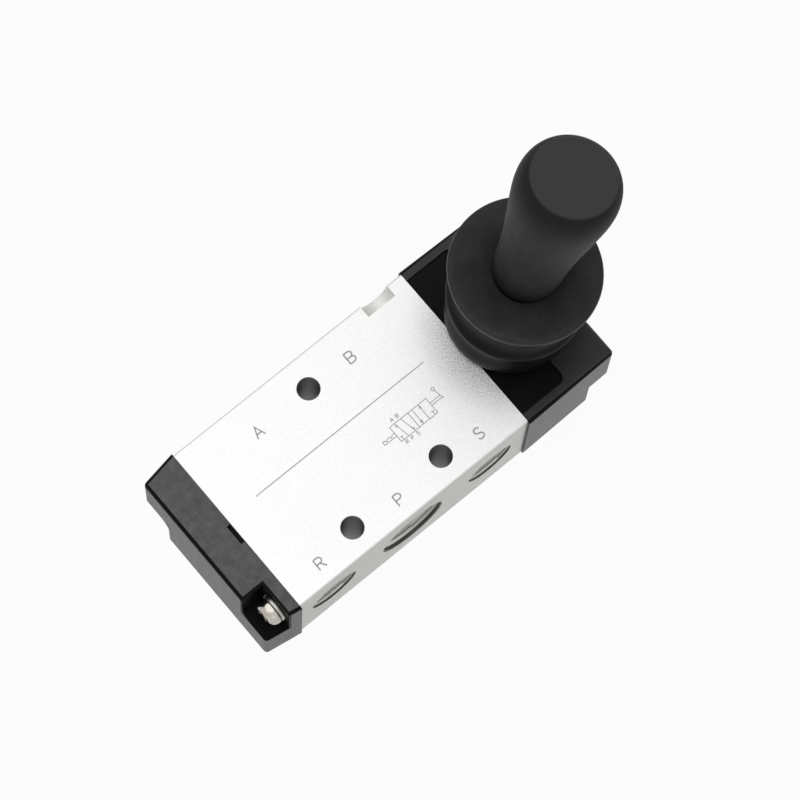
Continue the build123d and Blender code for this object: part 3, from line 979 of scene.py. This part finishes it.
@dataclass
class EndFasteners:
    """The two screws and washers that hold one end piece on."""

    name: str
    seat: float
    outward: int
    high_first: bool
    shank: float
    recess_turns: Point = (0.5, 1.1)
    screw_y: float = 14.0
    offset_z: float = 6.2
    middle_z: float = 11.0
    washer_thickness: float = 0.8

    def build(self) -> None:
        """Builds both screws as one piece and both washers as another."""
        screws, washers = Shape(), Shape()
        way = 1 if self.high_first else -1
        head = self.seat + self.outward * self.washer_thickness
        for side, turn in zip((-1, 1), self.recess_turns):
            y = side * self.screw_y
            z = self.middle_z - side * way * self.offset_z
            spin = Matrix.Rotation(turn, 4, "Z")
            place, under = (along_x(x, y, z, self.outward) @ spin for x in (head, self.seat))
            screws.absorb(PanScrew(self.shank).shape(), place)
            washers.absorb(SplitWasher().shape(), under)
        screws.store(
            f"{self.name}_screws_detailed", SCREW_METAL, Body.FRAME, [f"{self.name}_screws"]
        )
        washers.store(
            f"{self.name}_washers_detailed", SPRING_METAL, Body.FRAME,
            [f"{self.name}_spring_washers"],
        )


# ---- the block


@dataclass(frozen=True)
class PipeThread:
    """A parallel pipe thread inside a port."""

    major: float
    minor: float
    pitch: float
    depth: float
    mouth: float = 0.45
    sink: float = 0.02
    clearance: float = 0.05
    flank_share: float = 0.46
    crest_share: float = 0.07
    steps_per_turn: int = 44

    def shape(self) -> Shape:
        """Builds the ridge along -Z from the mouth at zero.

        Returns:
            The ridge.
        """
        ridge = Shape()
        half = self.flank_share * self.pitch
        crest = self.crest_share * self.pitch
        root = self.major + self.sink
        section = ((root, -half), (root, half), (self.minor, crest), (self.minor, -crest))
        length = self.depth - self.mouth - 2 * half - 2 * self.clearance
        turns = length / self.pitch
        ridge.sweep_round(section, math.tau * turns, int(self.steps_per_turn * turns), length)
        ridge.move(Matrix.Translation((0, 0, half + self.clearance - self.depth)))
        return ridge


QUARTER_INCH = PipeThread(major=6.58, minor=5.72, pitch=1.337, depth=9.5)
EIGHTH_INCH = PipeThread(major=4.86, minor=4.283, pitch=0.907, depth=8.5)


@dataclass(frozen=True)
class Port:
    """One threaded port on a long side of the block."""

    x: float
    side: int
    thread: PipeThread


def arc(centre: Point, radii: Point, start: float, end: float, steps: int = 9) -> Line:
    """Returns points on an ellipse's arc between two angles in degrees."""
    angles = [math.radians(start + (end - start) * i / steps) for i in range(steps + 1)]
    return [
        (centre[0] + radii[0] * math.cos(a), centre[1] + radii[1] * math.sin(a)) for a in angles
    ]


STEM = ((0.0, 0.0), (0.0, 1.0))
UPPER_BOW = ((0.0, 1.0), *arc((0.34, 0.75), (0.3, 0.25), 90, -90), (0.0, 0.5))
LOWER_BOW = ((0.0, 0.5), *arc((0.36, 0.25), (0.32, 0.25), 90, -90), (0.0, 0.0))
UPPER_HOOK = arc((0.34, 0.76), (0.29, 0.24), 25, 250)
LOWER_HOOK = arc((0.34, 0.25), (0.31, 0.25), 80, -160)


class Letter(Enum):
    """The letters of a five-port valve's connections, as strokes in a box one unit high."""

    A = (((-0.04, 0.0), (0.34, 1.0), (0.72, 0.0)), ((0.1, 0.36), (0.58, 0.36)))
    B = (STEM, UPPER_BOW, LOWER_BOW)
    P = (STEM, UPPER_BOW)
    R = (STEM, UPPER_BOW, ((0.34, 0.5), (0.68, 0.0)))
    S = ((*UPPER_HOOK, *LOWER_HOOK),)


Lettering = tuple[tuple[Letter, Point], ...]


@dataclass
class FrontMarkings:
    """The thin printing on the block's front: port letters, a rule and a flow symbol."""

    face_z: float = 22.0
    thickness: float = 0.012
    layer: float = 0.0006
    letters: Lettering = (
        (Letter.A, (-11.8, 11.3)), (Letter.B, (9.4, 11.5)), (Letter.P, (-0.5, -13.75)),
        (Letter.R, (-18.5, -13.75)), (Letter.S, (17.95, -13.6)),
    )
    letter_height: float = 2.15
    letter_stroke: float = 0.27
    small_letters: Lettering = (
        (Letter.A, (7.65, -1.95)), (Letter.B, (8.85, -1.95)), (Letter.R, (7.3, -6.75)),
        (Letter.P, (8.5, -6.75)), (Letter.S, (9.75, -6.75)),
    )
    small_height: float = 0.72
    small_stroke: float = 0.14
    rule: Line = ((-19.5, 2.55), (18.8, 2.55))
    rule_stroke: float = 0.18
    symbol_low: Point = (6.5, -6.1)
    symbol_high: Point = (14.8, -2.8)
    symbol_stroke: float = 0.15

    def build(self) -> None:
        """Builds the letters, the rule and the symbol, each a piece of its own.

        Each stroke stands just above the face, a hair above the last.
        """
        large = self._lettering(self.letters, self.letter_height)
        small = self._lettering(self.small_letters, self.small_height)
        for name, width, groups in (
            ("port_letters", self.letter_stroke, large),
            ("symbol_letters", self.small_stroke, small),
            ("front_rule", self.rule_stroke, [[self.rule]]),
            ("flow_symbol", self.symbol_stroke, [self._symbol_strokes()]),
        ):
            shape = Shape()
            for strokes in groups:
                for order, points in enumerate(strokes):
                    top = self.face_z + self.thickness + order * self.layer
                    shape.ribbon(points, width, self.face_z - self.thickness, top)
            shape.store(name, MARKING, Body.FRAME)

    def _lettering(self, letters: Lettering, height: float) -> list[list[Line]]:
        """Sets letters on the front.

        Args:
            letters: The letters with their middles.
            height: Their height.

        Returns:
            The strokes of each letter.
        """
        middle_u, middle_v = LETTER_MIDDLE
        return [
            [
                [(x + (u - middle_u) * height, y + (v - middle_v) * height) for u, v in stroke]
                for stroke in letter.value
            ]
            for letter, (x, y) in letters
        ]

    def _symbol_strokes(self) -> list[Line]:
        """Draws a two-position, five-port symbol with a lever and a detent.

        It is drawn in shares of the symbol's box, across from its left and down from its top.

        Returns:
            The symbol's strokes.
        """
        shares = [
            # The two squares
            [(0.0, 1.0), (1.0, 1.0), (1.0, 0.0), (0.0, 0.0), (0.0, 1.0)],
            [(0.5, 0.0), (0.5, 1.0)],
            # The lever on the right
            [(1.0, 0.34), (1.28, 0.34)],
            [(1.0, 0.5), (1.3, 0.5)],
            [(1.25, -0.06), (1.31, 0.6)],
            # The detent on the left
            [(0.0, 0.6), (-0.33, 0.6), (-0.33, 0.4), (-0.28, 0.4), (-0.24, 0.52), (-0.2, 0.4)],
            [(-0.2, 0.4), (-0.15, 0.4), (-0.11, 0.52), (-0.07, 0.4), (0.0, 0.4)],
        ]
        for start, end in (
            ((0.2, 1.0), (0.13, 0.04)), ((0.3, 0.0), (0.38, 0.96)),
            ((0.61, 0.0), (0.61, 0.96)), ((0.78, 1.0), (0.78, 0.04)),
        ):
            (across, down), back = end, 0.2 if end[1] < start[1] else -0.2
            shares.append([start, end])
            shares.append([(across - 0.025, down + back), end, (across + 0.025, down + back)])
        for across in (0.07, 0.93):
            shares.append([(across, 1.0), (across, 0.78)])
            shares.append([(across - 0.035, 0.78), (across + 0.035, 0.78)])
        shares.append(arc((1.245, -0.16), (0.038, 0.1), 0, 360, 12))
        (left, low), (right, high) = self.symbol_low, self.symbol_high
        wide, tall = right - left, high - low
        return [
            [(left + across * wide, high - down * tall) for across, down in share]
            for share in shares
        ]


@dataclass
class ValveBlock:
    """The aluminium block with its ports' threads and its printing."""

    half_width: float = 17.5
    middle_z: float = 11.0
    ports: tuple[Port, ...] = (
        Port(0.0, -1, QUARTER_INCH),
        Port(-10.5, 1, QUARTER_INCH),
        Port(10.5, 1, QUARTER_INCH),
        Port(-18.0, -1, EIGHTH_INCH),
        Port(18.0, -1, EIGHTH_INCH),
    )

    def build(self) -> None:
        """Dresses the block and its spool and adds the threads and the printing."""
        dress(
            valve_body=BODY_SKIN,
            spool=SPOOL_METAL,
            spool_seals=SEAL_SKIN,
            wear_rings=RING_SKIN,
            shift_spindle=GROUND_METAL,
        )
        threads = Shape()
        for port in self.ports:
            place = along_y(port.x, port.side * self.half_width, self.middle_z, port.side)
            threads.absorb(port.thread.shape(), place)
        threads.store("port_threads", BODY_SKIN, Body.FRAME)
        FrontMarkings().build()


# ---- end pieces


@dataclass
class EndPieces:
    """The end cap and the lever housing with their gaskets, bumpers and fasteners."""

    cap_seat: float = -28.6
    housing_seat: float = 41.2
    cap_shank: float = 8.6
    housing_shank: float = 21.2

    def build(self) -> None:
        """Dresses the end pieces and builds their fasteners."""
        dress(
            end_cap=CAP_SKIN,
            cap_gasket=GASKET_SKIN,
            cap_bumper=SEAL_SKIN,
            lever_housing=HOUSING_SKIN,
            housing_gasket=GASKET_SKIN,
            housing_bumper=SEAL_SKIN,
            pivot_pin=GROUND_METAL,
        )
        EndFasteners("cap", self.cap_seat, -1, True, self.cap_shank).build()
        EndFasteners("housing", self.housing_seat, 1, False, self.housing_shank).build()


# ---- lever and boot


@dataclass
class Boot:
    """The rubber boot, built leaning over."""

    foot_x: float = 36.0
    foot_z: float = 22.3
    height: float = 20.9
    lean: float = 0.7
    top_shift: float = 2.8
    top_tilt: float = 6.4
    steps: int = 112
    bend_start: float = 5.0
    bend_end: float = 17.5
    outside: tuple[Point, ...] = (
        (8.3, -0.25), (9.8, -0.25), (9.85, 0.2), (10.5, 0.16), (11.3, 0.4), (11.7, 1.1),
        (11.84, 2.2), (11.78, 3.4), (11.56, 4.5), (11.44, 5.7), (11.56, 6.9), (12.2, 7.9),
        (12.55, 8.6), (12.62, 9.2), (12.4, 9.75), (11.85, 10.3), (11.5, 11.2), (11.32, 12.6),
        (11.3, 14.2), (11.45, 15.8), (11.85, 17.1), (12.5, 18.1), (13.25, 18.75),
        (13.68, 19.3), (13.74, 20.0), (13.62, 20.6), (13.2, 20.88), (12.4, 20.86),
        (10.4, 20.66), (8.6, 20.32), (7.3, 19.85), (6.4, 19.55), (5.65, 19.42),
    )
    inside: tuple[Point, ...] = (
        (5.5, 19.2), (5.5, 18.5), (5.75, 18.3), (8.6, 18.2), (10.1, 17.6), (10.3, 16.2),
        (10.05, 14.2), (10.05, 12.4), (10.5, 11.0), (11.1, 9.7), (11.15, 8.7), (10.5, 7.1),
        (10.1, 5.8), (10.15, 4.4), (10.1, 3.0), (9.8, 1.7), (9.1, 1.1), (8.3, 0.9),
    )

    def build(self) -> None:
        """Turns the wall's section round and leans it over."""
        boot = Shape()
        boot.revolve((*self.outside, *self.inside), self.steps)
        for vert in boot.mesh.verts:
            vert.co = self._leaned(vert.co)
        piece = boot.store("boot_detailed", BOOT_SKIN, None, ["boot"], crease=60.0)
        smooth = piece.modifiers.new("smooth", "SUBSURF")
        smooth.levels = smooth.render_levels = 1
        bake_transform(piece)

    def _leaned(self, point: Vector) -> Vector:
        """Leans the upright boot over.

        Args:
            point: A point of the upright boot.

        Returns:
            The place where the leaning boot has it.
        """
        share = min(max(point.z / self.height, 0.0), 1.0)
        tilt = Matrix.Rotation(math.radians(share * self.top_tilt), 3, "Y")
        centre = Vector(
            (self.foot_x + share**self.lean * self.top_shift, 0.0, self.foot_z + point.z)
        )
        return centre + tilt @ Vector((point.x, point.y, 0.0))


class Lever:
    """The lever with its grip, boot and detent."""

    def build(self) -> None:
        """Dresses the lever's nodes and builds the boot."""
        dress(
            lever_rod=GROUND_METAL,
            grip=GRIP_SKIN,
            grip_insert=BRASS_METAL,
            detent_ball_left=BALL_METAL,
            detent_ball_right=BALL_METAL,
            detent_spring=SPRING_METAL,
        )
        Boot().build()


# ---- the set


@dataclass(frozen=True)
class SoftBox:
    """A square studio lamp that faces a point."""

    name: str
    place: Point3
    size: float
    watts: float
    target: Point3 = (10.0, 0.0, 25.0)

    def build(self) -> None:
        """Hangs the lamp."""
        light = bpy.data.lights.new(self.name, "AREA")
        light.size = self.size * MM
        light.energy = self.watts
        lamp = placed(self.name, light)
        lamp.location = Vector(self.place) * MM
        aim = Vector(self.target) - Vector(self.place)
        lamp.rotation_mode = "QUATERNION"
        lamp.rotation_quaternion = aim.to_track_quat("-Z", "Y")


@dataclass
class Studio:
    """The floor, the soft light and the camera."""

    floor_size: float = 6000.0
    floor_z: float = -0.05
    floor_colour: Colour = (0.8, 0.8, 0.8)
    floor_roughness: float = 0.9
    floor_glow: float = 0.95
    world_level: float = 0.3
    camera_place: Point3 = (-119.0, -125.6, 702.9)
    camera_right: Point3 = (0.7659, -0.6423, 0.028)
    camera_forward: Point3 = (0.1847, 0.1781, -0.9665)
    lens: float = 180.0
    sensor: float = 36.0
    clip: Point = (0.01, 20.0)
    lamps: tuple[SoftBox, ...] = (
        SoftBox("overhead", (-150.0, 150.0, 900.0), 1200.0, 3.35),
        SoftBox("port_side", (-300.0, -700.0, 300.0), 400.0, 0.1),
    )

    def build(self) -> None:
        """Builds the floor, the world, the lamps and the camera."""
        self._floor()
        self._world()
        for lamp in self.lamps:
            lamp.build()
        self._camera()
        bpy.context.scene.view_settings.view_transform = "Standard"

    def _floor(self) -> None:
        """Lays a plain pale floor under the valve, white to the rays that show it."""
        tree = ShaderTree("floor")
        tree.feed(
            base_color=(*self.floor_colour, 1.0),
            roughness=self.floor_roughness,
            specular_ior_level=0.0,
        )
        inputs = {
            0: tree.maths("MULTIPLY", tree.seen(), self.floor_glow),
            1: tree.shader.outputs[0],
            2: tree.add("ShaderNodeEmission", {"Color": WHITE}).outputs[0],
        }
        mix = tree.add("ShaderNodeMixShader", inputs).outputs[0]
        tree.wire(tree.nodes["Material Output"], {"Surface": mix})
        shape = Shape()
        bmesh.ops.create_grid(
            shape.mesh, x_segments=1, y_segments=1, size=self.floor_size / 2,
            matrix=Matrix.Translation((0, 0, self.floor_z)),
        )
        shape.finished("floor", tree.material)

    def _world(self) -> None:
        """Fills the surroundings with soft light on a white backdrop."""
        world = bpy.data.worlds.new("studio")
        bpy.context.scene.world = world
        world.use_nodes = True
        kit = NodeKit(world.node_tree)
        level = kit.span(kit.seen(), (0.0, 1.0), (self.world_level, 1.0))
        kit.wire(kit.nodes["Background"], {"Color": WHITE, "Strength": level})

    def _camera(self) -> None:
        """Sets the camera down at its place."""
        data = bpy.data.cameras.new("camera")
        data.sensor_width = self.sensor
        data.lens = self.lens
        data.clip_start, data.clip_end = self.clip
        camera = placed("camera", data)
        back = -Vector(self.camera_forward).normalized()
        right = Vector(self.camera_right)
        right = (right - right.dot(back) * back).normalized()
        rows = Matrix((right, back.cross(right), back)).transposed().to_4x4()
        camera.matrix_world = Matrix.Translation(Vector(self.camera_place) * MM) @ rows
        bpy.context.scene.camera = camera


def main() -> None:
    """Builds the valve's pieces and the set in order."""
    logging.basicConfig(level=logging.INFO, format="%(name)s: %(message)s")
    for part in (ValveBlock(), EndPieces(), Lever(), Studio()):
        part.build()
        LOG.info("%s is built", type(part).__name__)
    bpy.context.view_layer.update()


if __name__ == "__main__":
    main()
